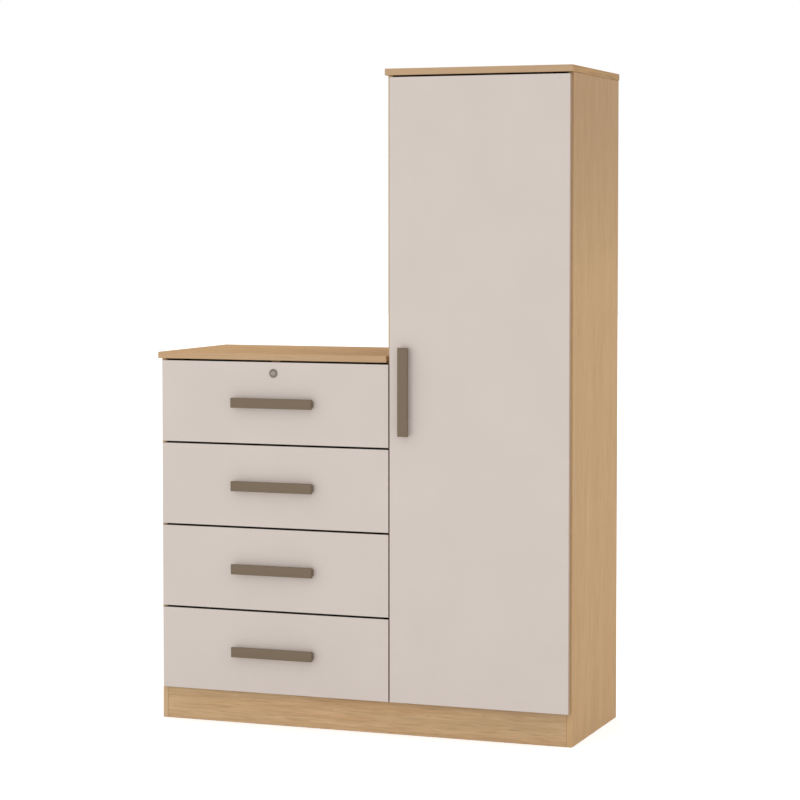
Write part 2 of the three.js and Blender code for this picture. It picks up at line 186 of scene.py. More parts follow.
def oak(name, along, shift, band=None, figure=1.0, tone=OAK, gloss=SATIN_GLOSS):
    """Oak decor foil: its grain runs along one axis, and on the board's ends along the edge band."""
    f = Finish(name)
    across = "y" if along != "y" else "x"
    third = next(a for a in AXES if a not in (along, across))
    parts = f.node("SeparateXYZ", {0: f.place.outputs["Object"]}).outputs
    line, wide, deep = (parts[AXES.index(a)] for a in (along, across, third))
    on_face = f.node("CombineXYZ", {0: line, 1: wide, 2: deep}).outputs[0]
    on_end = f.node("CombineXYZ", {0: wide, 1: line, 2: deep}).outputs[0]
    chosen = f.node("Mix", data_type="VECTOR")
    f.tree.links.new(facing_side(f, along), chosen.inputs[0])
    f.tree.links.new(on_face, chosen.inputs[4])
    f.tree.links.new(on_end, chosen.inputs[5])
    grain = f.mapped(chosen.outputs[1], (1, 1, 1), shift)

    drift = f.noise(f.mapped(grain, DRIFT_REPEAT, (0.5, 0.2, 0.8)), detail=0)
    bands = f.noise(f.mapped(grain, BANDS_REPEAT), detail=4, rough=0.6, twist=0.5)
    streaks = f.noise(f.mapped(grain, STREAKS_REPEAT, (3, 5, 7)), detail=3, twist=0.4)
    fibre = f.noise(f.mapped(grain, FIBRE_REPEAT), detail=3, rough=0.6, twist=0.8)
    pores = f.noise(f.mapped(grain, PORES_REPEAT, (9, 1, 4)), detail=2, rough=0.5, twist=0.9)
    flame = f.node(
        "TexWave",
        {
            "Vector": f.mapped(grain, FLAME_REPEAT, (2, 0.4, 0.3)),
            "Scale": 4.2,
            "Distortion": 4.5,
            "Detail": 2.5,
            "Detail Scale": 1.2,
        },
        bands_direction="Y",
    ).outputs["Fac"]

    pore = (tone[0] * 0.64, tone[1] * 0.57, tone[2] * 0.47, 1)
    warm = (tone[0] * 1.06, tone[1] * 0.95, tone[2] * 0.86, 1)
    dark, light = tinted(tone, 1 - 0.09 * figure), tinted(tone, 1 + 0.08 * figure)
    shade = f.blend(f.levels(bands, 0.3, 0.7), dark, light)
    shade = f.blend(f.levels(streaks, 0.47, 0.66, 0.0, min(1.0, 0.6 * figure)), shade, warm)
    shade = f.blend(f.levels(flame, 0.5, 1.0, 0.0, 0.2 * figure), shade, pore)
    shade = f.blend(f.levels(fibre, 0.28, 0.5, 0.32 * figure, 0.0), shade, tinted(tone, 1.3))
    shade = f.blend(f.levels(fibre, 0.5, 0.7, 0.0, 0.55 * figure), shade, pore)
    shade = f.blend(f.levels(pores, 0.6, 0.75, 0.0, 0.45 * figure), shade, tinted(pore, 0.86))
    shade = f.blend(1.0, shade, f.blend(f.levels(drift, 0.3, 0.7), DRIFT_LOW, DRIFT_HIGH), "MULTIPLY")
    if band:
        axis, strength, edge = band
        shade = f.blend(f.math("MULTIPLY", facing_side(f, axis), strength), shade, edge)
    f.base(shade)
    f.shader.inputs["Specular IOR Level"].default_value = gloss
    f.rough(f.levels(fibre, 0.3, 0.8, 0.5, 0.64))
    f.bump(f.math("ADD", f.math("MULTIPLY", fibre, 0.5), pores), 0.0001, 0.35)
    return f.material


FOIL_GLOSS = 0.22
PEEL_REPEAT = (700, 700, 700)


def plain(f, tone, soft=0.015, speck=5):
    """An even tone with a faint cloud in it."""
    cloud = f.noise(f.mapped(f.place.outputs["Object"], (speck, speck, speck)), detail=3)
    return f.blend(f.levels(cloud, 0.32, 0.68), tinted(tone, 1 - soft), tinted(tone, 1 + soft))


def orange_peel(f, roughness):
    peel = f.noise(f.mapped(f.place.outputs["Object"], PEEL_REPEAT), detail=2)
    f.shader.inputs["Specular IOR Level"].default_value = FOIL_GLOSS
    f.rough(f.levels(peel, 0.3, 0.7, roughness - 0.03, roughness + 0.04))
    f.bump(peel, 0.00005, 0.25)


def lacquer(name, tone, roughness):
    """A plain matt board face or moulding, with fine orange peel."""
    f = Finish(name, roughness)
    f.base(plain(f, tone))
    orange_peel(f, roughness)
    return f.material


def front_foil(name):
    """The fronts: greige faces, a warmer band on the upright edges, and top and bottom edges painted dark as
    painted shade for the gaps between the fronts.
    """
    f = Finish(name, 0.5)
    shade = f.blend(facing_side(f, "x"), plain(f, GREIGE), plain(f, GREIGE_BAND, 0.04, 60))
    # The top and bottom edges take a dark tone: painted shade that makes the gaps between the fronts look
    # dark.
    f.base(f.blend(facing_side(f, "z"), shade, plain(f, GAP_SHADE_EDGE, 0.1, 300)))
    orange_peel(f, 0.5)
    return f.material


def sheet(name, axis, sign):
    """Thin hardboard, lacquered white on one side and brown and fibrous on the other."""
    f = Finish(name, 0.65)
    grid = f.mapped(f.place.outputs["Object"], (160, 160, 160))
    mat = f.noise(grid, detail=5, rough=0.7, twist=0.6)
    blotch = f.noise(f.mapped(f.place.outputs["Object"], (7, 7, 7), (4, 2, 1)), detail=4, rough=0.6)
    brown = f.blend(f.levels(mat, 0.3, 0.7), tinted(HARDBOARD, 0.8), tinted(HARDBOARD, 1.18))
    brown = f.blend(f.levels(blotch, 0.4, 0.7, 0.0, 0.4), brown, tinted(HARDBOARD, 0.72))
    f.base(f.blend(facing_side(f, axis, sign), plain(f, WHITE), brown))
    orange_peel(f, 0.62)
    return f.material


def set_material(names, material):
    for name in names:
        slots = nodes[name].material_slots
        if not slots:
            nodes[name].data.materials.append(material)
        for slot in slots:
            slot.material = material


GREIGE = colour(210, 199, 191)
GREIGE_BAND = colour(184, 162, 144)
# Painted shade for the gaps between the fronts, put on their top and bottom edges.
GAP_SHADE_EDGE = colour(84, 73, 62)
TAUPE = colour(119, 103, 84)
WHITE = colour(228, 222, 212)
HARDBOARD = colour(158, 124, 90)
RUNNER_BROWN = colour(138, 127, 114)
CAP_TAN = colour(196, 164, 126)
FELT_GREY = colour(214, 212, 206)

panel_edge = ("y", 0.8, OAK_EDGE)
# The right panel gets the lighter edge band held down to 0.2: painted shade on its edges beside the door.
shaded_right_edge = ("y", 0.2, OAK_EDGE)
shelf_edge = ("y", 0.6, OAK_EDGE)
top_edge = ("y", 0.65, TOP_EDGE)
set_material(["left_side_panel"], oak("oak_left_side", "z", (0.31, 0.12, 0.4), panel_edge, 0.6))
# Its edges are darker than the other panels' edges as painted shade beside the door.
set_material(["right_side_panel"], oak("oak_right_side", "z", (4.1, 0.63, 0.2), shaded_right_edge, 0.5))
set_material(["middle_panel"], oak("oak_middle", "z", (3.3, 1.9, 1.1), panel_edge, 0.6))
set_material(["wardrobe_top"], oak("oak_wardrobe_top", "x", (5.1, 0.7, 2.2), top_edge, gloss=MATT_GLOSS))
chest_oak = oak("oak_chest_top", "x", (6.3, 2.7, 0.9), top_edge, 1.2, OAK_WARM, MATT_GLOSS)
set_material(["chest_top"], chest_oak)
set_material(["plinth"], oak("oak_plinth", "x", (11.5, 3.1, 3.7), tone=OAK_LIGHT))
inside_oak = oak("oak_inside", "x", (8.8, 4.1, 5.2), shelf_edge, 0.8)
set_material(["chest_base", "wardrobe_base", "hat_shelf"], inside_oak)
set_material(["door", *(f"drawer_{i}_front" for i in range(1, 5))], front_foil("front_foil"))
taupe = lacquer("taupe_plastic", TAUPE, 0.48)
set_material(["door_handle", *(f"drawer_{i}_handle" for i in range(1, 5))], taupe)
white = lacquer("drawer_foil", WHITE, 0.55)
for i in range(1, 5):
    set_material([f"drawer_{i}_{part}" for part in ("side_left", "side_right", "back")], white)
set_material([f"drawer_{i}_bottom" for i in range(1, 5)], sheet("drawer_sheet", "z", -1))
set_material(["chest_back", "wardrobe_back"], sheet("back_sheet", "y", 1))
runner = lacquer("runner_plastic", RUNNER_BROWN, 0.45)
set_material([n for n in nodes if "runner" in n], runner)


def steel(name, tone, roughness):
    f = Finish(name, roughness, 1.0, tone)
    place = f.place.outputs["Object"]
    cloud = f.noise(f.mapped(place, (60, 60, 60)), detail=3)
    f.base(f.blend(f.levels(cloud, 0.3, 0.7), tinted(tone, 0.92), tinted(tone, 1.06)))
    f.rough(f.levels(cloud, 0.3, 0.7, roughness - 0.05, roughness + 0.07))
    return f.material


satin = steel("satin_nickel", colour(150, 143, 135), 0.4)
worn = steel("worn_nickel", colour(121, 112, 103), 0.45)
bronzed = steel("bronzed_steel", colour(134, 113, 86), 0.5)
bright = steel("bright_nickel", colour(196, 192, 185), 0.3)
set_material([n for n in nodes if "lock" in n], satin)
set_material([n for n in nodes if "hinge" in n or "socket" in n], bright)
set_material(["lock_strike"], bronzed)
set_material(["hanging_rail"], steel("chrome", colour(215, 215, 215), 0.14))


# Modelling helpers

ALONG = 0.9
NEAR = 0.1 * MM
MERGE = 0.02 * MM
FACING = {
    "up": (0, 0, 0),
    "down": (math.pi, 0, 0),
    "front": (math.pi / 2, 0, 0),
    "back": (-math.pi / 2, 0, 0),
    "right": (0, math.pi / 2, 0),
    "left": (0, -math.pi / 2, 0),
}


def only(piece):
    bpy.ops.object.select_all(action="DESELECT")
    piece.select_set(True)
    bpy.context.view_layer.objects.active = piece


def pick_faces(test):
    """In edit mode, selects the faces whose centre and normal pass a test."""
    shape = bmesh.from_edit_mesh(bpy.context.edit_object.data)
    bpy.ops.mesh.select_mode(type="FACE")
    bpy.ops.mesh.select_all(action="DESELECT")
    for face in shape.faces:
        if test(face.calc_center_median(), face.normal):
            face.select_set(True)
    bmesh.update_edit_mesh(bpy.context.edit_object.data)


def pick_edges(test):
    """In edit mode, selects the edges whose middle and direction pass a test."""
    shape = bmesh.from_edit_mesh(bpy.context.edit_object.data)
    bpy.ops.mesh.select_mode(type="EDGE")
    bpy.ops.mesh.select_all(action="DESELECT")
    for edge in shape.edges:
        start, end = (corner.co for corner in edge.verts)
        if test((start + end) / 2, (end - start).normalized()):
            edge.select_set(True)
    bmesh.update_edit_mesh(bpy.context.edit_object.data)


def push(x, y, z):
    """Extrudes the selected faces by a step."""
    bpy.ops.mesh.extrude_region_move(TRANSFORM_OT_translate={"value": (x, y, z)})


def cut_at(point, normal):
    bpy.ops.mesh.select_all(action="SELECT")
    bpy.ops.mesh.bisect(plane_co=point, plane_no=normal)


def block(low, high):
    """A cube drawn out between two corners, left in edit mode."""
    bpy.ops.object.select_all(action="DESELECT")
    bpy.ops.mesh.primitive_cube_add(size=1)
    piece = bpy.context.object
    piece.location = [(a + b) / 2 for a, b in zip(low, high)]
    piece.scale = [b - a for a, b in zip(low, high)]
    bpy.ops.object.transform_apply()
    bpy.ops.object.mode_set(mode="EDIT")
    return piece


def turned(profile, steps):
    """A turned shape: a point drawn out along a profile of radius and height, then spun about Z."""
    bpy.ops.object.select_all(action="DESELECT")
    bpy.ops.mesh.primitive_plane_add(size=MM)
    piece = bpy.context.object
    bpy.ops.object.mode_set(mode="EDIT")
    bpy.ops.mesh.select_mode(type="VERT")
    bpy.ops.mesh.merge(type="CENTER")
    at = (0, 0)
    for i, (radius, height) in enumerate(profile):
        step = ((radius - at[0]) * MM, 0, (height - at[1]) * MM)
        if i:
            bpy.ops.mesh.extrude_vertices_move(TRANSFORM_OT_translate={"value": step})
        else:
            bpy.ops.transform.translate(value=step)
        at = (radius, height)
    bpy.ops.mesh.select_all(action="SELECT")
    bpy.ops.mesh.spin(steps=steps, angle=2 * math.pi, center=(0, 0, 0), axis=(0, 0, 1))
    bpy.ops.mesh.select_all(action="SELECT")
    bpy.ops.mesh.remove_doubles(threshold=MERGE)
    bpy.ops.mesh.normals_make_consistent(inside=False)
    return piece


def smoothed(piece, angle=40):
    """Leaves edit mode and shades smooth all but the sharp edges."""
    bpy.ops.object.mode_set(mode="OBJECT")
    only(piece)
    bpy.ops.object.shade_smooth_by_angle(angle=math.radians(angle))
    return piece


def eased(piece, width, segments, angle=32):
    """Leaves edit mode and rounds the sharp edges."""
    bpy.ops.object.mode_set(mode="OBJECT")
    only(piece)
    edges = piece.modifiers.new("edges", "BEVEL")
    edges.width = width
    edges.segments = segments
    edges.limit_method = "ANGLE"
    edges.angle_limit = math.radians(angle)
    bpy.ops.object.modifier_apply(modifier="edges")
    return smoothed(piece, 38)


def put(pattern, name, place, turn=(0, 0, 0)):
    """A copy of a pattern with its own mesh, turned and set down at its place."""
    made = pattern.copy()
    made.data = pattern.data.copy()
    made.name = name
    bpy.context.scene.collection.objects.link(made)
    made.location = place
    made.rotation_euler = turn
    only(made)
    bpy.ops.object.transform_apply()
    return made


def belongs(piece, body, material):
    piece.data.materials.clear()
    piece.data.materials.append(material)
    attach(piece, body)


def fittings(name, pattern, places, body, material):
    """Copies of one fitting at all its places on a body, as one piece."""
    copies = [put(pattern, name, place, FACING[facing]) for place, facing in places]
    bpy.ops.object.select_all(action="DESELECT")
    for made in copies:
        made.select_set(True)
    bpy.context.view_layer.objects.active = copies[0]
    bpy.ops.object.join()
    copies[0].name = name
    belongs(copies[0], body, material)


def middle(node):
    low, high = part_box(node)
    return (low + high) / 2


# Bar handles, drawn lengthwise along X with their feet on the plane Y = 0

HANDLE_BAR = 10 * MM
HANDLE_FOOT = 18 * MM
HANDLE_LEG = 13 * MM
HANDLE_SHOULDER = 3.5 * MM
HANDLE_TAPER = 1 * MM
HANDLE_CROOK = 2.8 * MM
HANDLE_ROUNDING = 1.3 * MM


def bar_handle(length, reach, face):
    under = reach - HANDLE_BAR
    leg = length / 2 - HANDLE_LEG
    handle = block((-length / 2, -reach, -face / 2), (length / 2, -under, face / 2))
    for side in (-1, 1):
        cut_at((side * leg, 0, 0), (1, 0, 0))
    pick_faces(lambda centre, normal: normal.y > 0.5 and abs(centre.x) > leg)
    push(0, HANDLE_SHOULDER, 0)
    foot = HANDLE_FOOT / face
    bpy.ops.transform.resize(value=(1, 1, foot), center_override=(0, 0, 0))
    push(0, under - HANDLE_SHOULDER, 0)
    taper = 1 - 2 * HANDLE_TAPER / length
    bpy.ops.transform.resize(value=(taper, 1, 1), center_override=(0, 0, 0))
    pick_edges(lambda at, way: abs(way.z) > ALONG and abs(at.y + under) < NEAR and abs(at.x) < leg + MM)
    bpy.ops.mesh.bevel(offset=HANDLE_CROOK, segments=4, affect="EDGES")
    return eased(handle, HANDLE_ROUNDING, 3, 24)


low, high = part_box("drawer_1_handle")
handle_size = high - low
pattern = bar_handle(*handle_size)
for owner, turn in [*((f"drawer_{i}", 0) for i in range(1, 5)), ("door", math.pi / 2)]:
    low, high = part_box(f"{owner}_handle")
    centre = (low + high) / 2
    made = put(pattern, f"{owner}_bar_handle", (centre.x, high.y, centre.z), (0, turn, 0))
    belongs(made, owner, taupe)
    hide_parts(f"{owner}_handle")
bpy.data.objects.remove(pattern)


# Screws, nails and caps, drawn facing up on the plane Z = 0, in millimetres

PAN_DOME = ((0, 1), (0.55, 0.94), (0.86, 0.68), (1, 0.25))
PAN_SEAT = -0.0001
PAN_STEPS = 28
CROSS_ARM = 0.62
CROSS_SLOT = 0.15
CROSS_TOP = 0.6
CROSS_DEPTH = 0.5
CROSS_TAPER = 0.8
DISC_CROWN = 0.6
DISC_SEAT = -0.1


def pan_head(radius, height, recess=True):
    """A domed screw head with a cross recess."""
    dome = [(across * radius, up * height) for across, up in PAN_DOME]
    head = turned([*dome, (radius, PAN_SEAT), (0, PAN_SEAT)], PAN_STEPS)
    if recess:
        arm = CROSS_ARM * radius * MM
        slot = CROSS_SLOT * radius * MM
        top = CROSS_TOP * height * MM
        for at in (-arm, -slot, slot, arm):
            cut_at((at, 0, 0), (1, 0, 0))
            cut_at((0, at, 0), (0, 1, 0))

        def in_cross(centre, normal):
            short = min(abs(centre.x), abs(centre.y)) < slot
            return short and max(abs(centre.x), abs(centre.y)) < arm and centre.z > top and normal.z > 0.3

        pick_faces(in_cross)
        push(0, 0, -CROSS_DEPTH * height * MM)
        bpy.ops.transform.resize(value=(CROSS_TAPER, CROSS_TAPER, 1), center_override=(0, 0, 0))
    return smoothed(head)


def disc(radius, height, dome, steps=32):
    """A low round head, cap or dot with an eased rim."""
    crown = [(0, height), (DISC_CROWN * radius, height - dome / 4), (radius - dome, height - dome / 2)]
    rim = [(radius, height - dome), (radius, DISC_SEAT), (0, DISC_SEAT)]
    return smoothed(turned(crown + rim, steps))


# Lock: the rosette with its barrel through the front, and the nut that holds the cam. In millimetres.

ROSETTE_FLANGE = 2.5
BARREL_RADIUS = 9
BARREL_BORE = 6.3


def lock_rosette():
    low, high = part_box("lock_barrel")
    centre = (low + high) / 2
    radius = (high.x - low.x) / 2 / MM
    depth = (high.y - low.y) / MM
    bore = BARREL_BORE
    behind = depth - ROSETTE_FLANGE
    lip = [(bore, depth - 0.9), (bore + 0.5, depth - 0.2), (bore + 1.2, depth)]
    rim = [(radius - 1.6, depth - 0.1), (radius - 0.5, depth - 0.6), (radius, depth - 1.5), (radius, behind)]
    barrel = [(BARREL_RADIUS, behind), (BARREL_RADIUS, 0), (bore, 0), (bore, depth - 0.9)]
    pattern = smoothed(turned(lip + rim + barrel, 64), 35)
    made = put(pattern, "lock_rosette", (centre.x, high.y, centre.z), FACING["front"])
    bpy.data.objects.remove(pattern)
    belongs(made, "drawer_1", worn)
    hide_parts("lock_barrel")


lock_rosette()
nut = disc(4.6, 2.4, 0.5)
lock_axis = middle("lock_barrel")
nut_place = (lock_axis.x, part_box("lock_cam")[1].y, lock_axis.z)
fittings("cam_nut", nut, [(nut_place, "back")], "lock", satin)
bpy.data.objects.remove(nut)


# Door hinges: a pressed cup in the door, a folded arm on the side panel, and the links between them.
# Drawn round the cup's centre on the door's back.

CUP_DEPTH = 11.5
CUP_RADIUS = 17.5
CUP_WALL = 1.4
CUP_FLOOR = 1.2
EAR_WIDTH = 18 * MM
ARM_HALF = 7 * MM
ARM_NOSE = 4 * MM
ARM_GROOVE = 52.5 * MM
PLATE_MIDDLE = 38.5 * MM
PLATE_HALF = 11 * MM
PLATE_DEPTH = 3 * MM
LINK_STEPS = 14
LINK_SIDE = 0.9 * MM
LINK_TAIL = 1.2 * MM
LINK_HALVES = (4 * MM, 2.6 * MM)
PIN_RADIUS = 1.6
PIN_HALF = 6
PIN_CHAMFER = 0.4
NOSE_PINS = ((5.4, 0.5), (2.2, 0.5))
CUP_PINS = ((6.5, -7.5), (-6.0, -7.0))


def pin_at(x, y):
    """A pivot pin along Z, in millimetres from the cup's centre."""
    end, neck = PIN_HALF, PIN_HALF - PIN_CHAMFER
    tip = PIN_RADIUS - PIN_CHAMFER
    profile = [(0, end), (tip, end), (PIN_RADIUS, neck), (PIN_RADIUS, -neck), (tip, -end), (0, -end)]
    made = turned(profile, 20)
    bpy.ops.transform.translate(value=(x * MM, y * MM, 0))
    bpy.ops.object.mode_set(mode="OBJECT")
    return made


def joined(*parts):
    bpy.ops.object.select_all(action="DESELECT")
    for part in parts:
        part.select_set(True)
    bpy.context.view_layer.objects.active = parts[0]
    bpy.ops.object.join()
    return parts[0]


def hinge_cup():
    """The cup with its rolled rim and its two screw ears, with the mouth facing up."""
    low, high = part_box("hinge_cup_1")
    height = (high.z - low.z) / 2
    inner = CUP_RADIUS - CUP_WALL
    bore = block((-inner * MM, -inner * MM, -MM), (inner * MM, inner * MM, 2 * MM))
    pick_edges(lambda at, way: abs(way.z) > ALONG)
    bpy.ops.mesh.bevel(offset=inner * MM * 0.999, segments=12, affect="EDGES")
    bpy.ops.object.mode_set(mode="OBJECT")
    ears = block((-EAR_WIDTH / 2, -height, NEAR), (EAR_WIDTH / 2, height, MM))
    pick_edges(lambda at, way: abs(way.z) > ALONG)
    bpy.ops.mesh.bevel(offset=EAR_WIDTH / 2 * 0.99, segments=8, affect="EDGES")
    bpy.ops.object.mode_set(mode="OBJECT")
    only(ears)
    mouth = ears.modifiers.new("mouth", "BOOLEAN")
    mouth.operation = "DIFFERENCE"
    mouth.object = bore
    bpy.ops.object.modifier_apply(modifier="mouth")
    bpy.data.objects.remove(bore)
    eased(ears, 0.3 * MM, 2, 50)
    floor = CUP_FLOOR - CUP_DEPTH
    inside = [(0, floor), (inner - 1.6, floor), (inner - 0.3, floor + 1.3), (inner, -0.2)]
    rim = [(inner + 0.4, 0.7), (CUP_RADIUS - 0.3, 1.0), (CUP_RADIUS, 0.6)]
    outside = [(CUP_RADIUS, 1 - CUP_DEPTH), (CUP_RADIUS - 1, -CUP_DEPTH), (0, -CUP_DEPTH)]
    cup = turned(inside + rim + outside, 56)
    bpy.ops.object.mode_set(mode="OBJECT")
    return smoothed(joined(cup, ears), 35)


def hinge_arm(seat):
    """The arm with its nose, its long groove and its plate."""
    low, high = (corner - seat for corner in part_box("hinge_arm_1"))
    arm = block((low.x, low.y + ARM_NOSE, -ARM_HALF), (high.x - PLATE_DEPTH, high.y, ARM_HALF))
    pick_faces(lambda centre, normal: normal.y < -ALONG)
    push(0, -ARM_NOSE, 0)
    bpy.ops.transform.resize(value=(0.7, 1, 0.84), center_override=(low.x, 0, 0))
    pick_edges(lambda at, way: abs(way.z) > ALONG and at.x < low.x + NEAR and at.y > high.y - MM)
    bpy.ops.mesh.bevel(offset=4 * MM, segments=3, affect="EDGES")
    for y in (ARM_GROOVE - 7 * MM, ARM_GROOVE + 7 * MM):
        cut_at((0, y, 0), (0, 1, 0))
    for z in (-2.4 * MM, 2.4 * MM):
        cut_at((0, 0, z), (0, 0, 1))

    def in_groove(centre, normal):
        return normal.x < -ALONG and abs(centre.y - ARM_GROOVE) < 6 * MM and abs(centre.z) < MM

    pick_faces(in_groove)
    push(1.6 * MM, 0, 0)
    eased(arm, 0.8 * MM, 3)
    front, rear = PLATE_MIDDLE - PLATE_HALF, PLATE_MIDDLE + PLATE_HALF
    plate = block((high.x - PLATE_DEPTH, front, low.z), (high.x, rear, high.z))
    pick_edges(lambda at, way: abs(way.x) > ALONG)
    bpy.ops.mesh.bevel(offset=7 * MM, segments=6, affect="EDGES")
    eased(plate, 0.6 * MM, 2)
    return joined(arm, plate, *(pin_at(*place) for place in NOSE_PINS))


def hinge_link(start, end, half):
    """A flat link from a pin in the nose to a pin in the cup, drawn in short lengths."""
    step = [(b - a) / LINK_STEPS * MM for a, b in zip(start, end)]
    x, y = (value * MM for value in start)
    link = block((x - LINK_SIDE, y, -half), (x + LINK_SIDE, y + LINK_TAIL, half))
    pick_faces(lambda centre, normal: normal.y < -ALONG)
    for _ in range(LINK_STEPS):
        push(*step, 0)
    push(0, -LINK_TAIL, 0)
    return eased(link, 0.25 * MM, 1)


def door_hinges():
    cup_middle = middle("hinge_cup_1")
    seat = Vector((cup_middle.x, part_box("door")[1].y, cup_middle.z))
    cup = hinge_cup()
    cup_pins = joined(*(pin_at(*place) for place in CUP_PINS))
    arm = hinge_arm(seat)
    links = [hinge_link(*ends) for ends in zip(NOSE_PINS, CUP_PINS, LINK_HALVES)]
    for i in range(1, 4):
        place = Vector((seat.x, seat.y, middle(f"hinge_cup_{i}").z))
        made = joined(put(cup, "cup", place, FACING["back"]), put(cup_pins, "pins", place))
        made.name = f"hinge_{i}_cup"
        belongs(made, "door", bright)
        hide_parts(f"hinge_cup_{i}")
        made = put(arm, f"hinge_{i}_arm", place)
        belongs(made, "carcass", bright)
        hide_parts(f"hinge_arm_{i}")
        for name, link in zip(("outer", "inner"), links):
            made = put(link, f"hinge_{i}_{name}_link", place)
            made.data.materials.clear()
            made.data.materials.append(bright)
            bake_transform(made)
    for used in (cup, cup_pins, arm, *links):
        bpy.data.objects.remove(used)


door_hinges()


# Screws of the handles, hinges, rail and strike

EAR_SCREWS = 24 * MM
PLATE_SCREWS = 16 * MM
PLATE_BACK = 37 * MM
ARM_SCREWS = (-12 * MM, 14 * MM)
SOCKET_WALL = 3 * MM
SOCKET_SCREWS = 24 * MM
STRIKE_WALL = 1.5 * MM
STRIKE_SCREWS = 8 * MM

carcass_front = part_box("left_side_panel")[0].y
right_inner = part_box("right_side_panel")[0].x
middle_low, middle_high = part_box("middle_panel")
left_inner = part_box("left_side_panel")[1].x
screw = pan_head(3.6, 1.6)
handle_screw = pan_head(4.2, 2.2)

hold = handle_size.x / 2 - HANDLE_LEG / 2
back_of_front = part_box("drawer_1_front")[1].y
for i in range(1, 5):
    at = middle(f"drawer_{i}_handle")
    places = [((at.x + side * hold, back_of_front, at.z), "back") for side in (-1, 1)]
    fittings(f"drawer_{i}_handle_screws", handle_screw, places, f"drawer_{i}", satin)
at = middle("door_handle")
places = [((at.x, back_of_front, at.z + side * hold), "back") for side in (-1, 1)]
fittings("door_handle_screws", handle_screw, places, "door", satin)

cup_screws = []
plate_screws = []
for i in range(1, 4):
    cup = middle(f"hinge_cup_{i}")
    cup_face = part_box(f"hinge_cup_{i}")[1].y
    arm_low, arm_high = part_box(f"hinge_arm_{i}")
    plate_face = arm_high.x - PLATE_DEPTH
    plate_at = carcass_front + PLATE_BACK
    for side in (-1, 1):
        cup_screws.append(((cup.x, cup_face, cup.z + side * EAR_SCREWS), "back"))
        plate_screws.append(((plate_face, plate_at, cup.z + side * PLATE_SCREWS), "left"))
    for along in ARM_SCREWS:
        plate_screws.append(((arm_low.x, plate_at + along, cup.z), "left"))
fittings("hinge_cup_screws", screw, cup_screws, "door", bright)
fittings("hinge_plate_screws", screw, plate_screws, "carcass", bright)

socket_screws = []
for name, facing in (("rail_socket_left", "right"), ("rail_socket_right", "left")):
    low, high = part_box(name)
    face = low.x + SOCKET_WALL if facing == "right" else high.x - SOCKET_WALL
    centre = (low + high) / 2
    for side in (-1, 1):
        socket_screws.append(((face, centre.y, centre.z + side * SOCKET_SCREWS), facing))
fittings("rail_socket_screws", screw, socket_screws, "carcass", bright)

strike_low, strike_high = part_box("lock_strike")
strike_face = strike_high.z - STRIKE_WALL
strike_row = strike_low.y + STRIKE_SCREWS
places = [((lock_axis.x + side * STRIKE_SCREWS, strike_row, strike_face), "down") for side in (-1, 1)]
fittings("strike_screws", screw, places, "carcass", bronzed)


# Drawer fixings: screws through the sides into the back, and capped cams behind the front

SIDE_FIXINGS = (30 * MM, 122 * MM)
BACK_SCREWS = 6 * MM
FRONT_CAMS = 26 * MM

flat_screw = pan_head(3.4, 0.5, recess=False)
cam_cap = disc(8.5, 0.9, 0.35)
small_cap = disc(6.5, 0.8, 0.3)
for i in range(1, 5):
    left_low, left_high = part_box(f"drawer_{i}_side_left")
    right_low, right_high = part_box(f"drawer_{i}_side_right")
    heights = [left_low.z + above for above in SIDE_FIXINGS]
    rear = left_high.y - BACK_SCREWS
    front = left_low.y + FRONT_CAMS
    screws = [((left_low.x, rear, z), "left") for z in heights]
    screws += [((right_high.x, rear, z), "right") for z in heights]
    caps = [((left_high.x, front, z), "right") for z in heights]
    caps += [((right_low.x, front, z), "left") for z in heights]
    fittings(f"drawer_{i}_back_screws", flat_screw, screws, f"drawer_{i}", satin)
    fittings(f"drawer_{i}_cam_caps", small_cap, caps, f"drawer_{i}", white)


# Carcass fixings: runner screws, capped cams under the tops and bases, shelf pins, back nails and bumpers

RUNNER_SCREWS = 40 * MM
RUNNER_SINK = 1.2 * MM
CAMS_FRONT = 60 * MM
CAMS_REAR = 70 * MM
CAMS_INSET = 24 * MM
PIN_INSET = 45 * MM
PIN_DROP = 5 * MM
NAIL_PITCH = 130 * MM
NAIL_INSET = 7 * MM
BUMPER_INSET = 30 * MM

runner_screws = []
for i in range(1, 5):
    for side, facing in (("left", "right"), ("right", "left")):
        low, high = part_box(f"drawer_{i}_runner_{side}")
        face = high.x if side == "left" else low.x
        sunk = -RUNNER_SINK if side == "left" else RUNNER_SINK
        for y in (low.y + RUNNER_SCREWS, (low.y + high.y) / 2, high.y - RUNNER_SCREWS):
            runner_screws.append(((face + sunk, y, (low.z + high.z) / 2), facing))
fine_screw = pan_head(1.85, 0.8, recess=False)
fittings("runner_screws", fine_screw, runner_screws, "carcass", satin)


def under_board(name, left, right):
    """Four places under a board, near the panels that carry it."""
    low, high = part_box(name)
    depths = (carcass_front + CAMS_FRONT, high.y - CAMS_REAR)
    return [((x, y, low.z), "down") for x in (left + CAMS_INSET, right - CAMS_INSET) for y in depths]


caps = []
for kind in ("top", "base"):
    caps += under_board(f"wardrobe_{kind}", middle_high.x, right_inner)
    caps += under_board(f"chest_{kind}", left_inner, middle_low.x)
cap_plastic = lacquer("cap_plastic", CAP_TAN, 0.45)
fittings("carcass_cam_caps", cam_cap, caps, "carcass", cap_plastic)

pin = turned([(0, 7), (2.0, 7), (2.5, 6.5), (2.5, 1.5), (4.6, 1.5), (4.9, 1.2), (4.9, -0.1), (0, -0.1)], 24)
eased(pin, 0.15 * MM, 1)
shelf_low, shelf_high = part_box("hat_shelf")
pins = []
for y in (shelf_low.y + PIN_INSET, shelf_high.y - PIN_INSET):
    for x, facing in ((middle_high.x, "right"), (right_inner, "left")):
        pins.append(((x, y, shelf_low.z - PIN_DROP), facing))
fittings("shelf_pins", pin, pins, "carcass", bright)

nail = disc(3.6, 0.9, 0.4, 16)


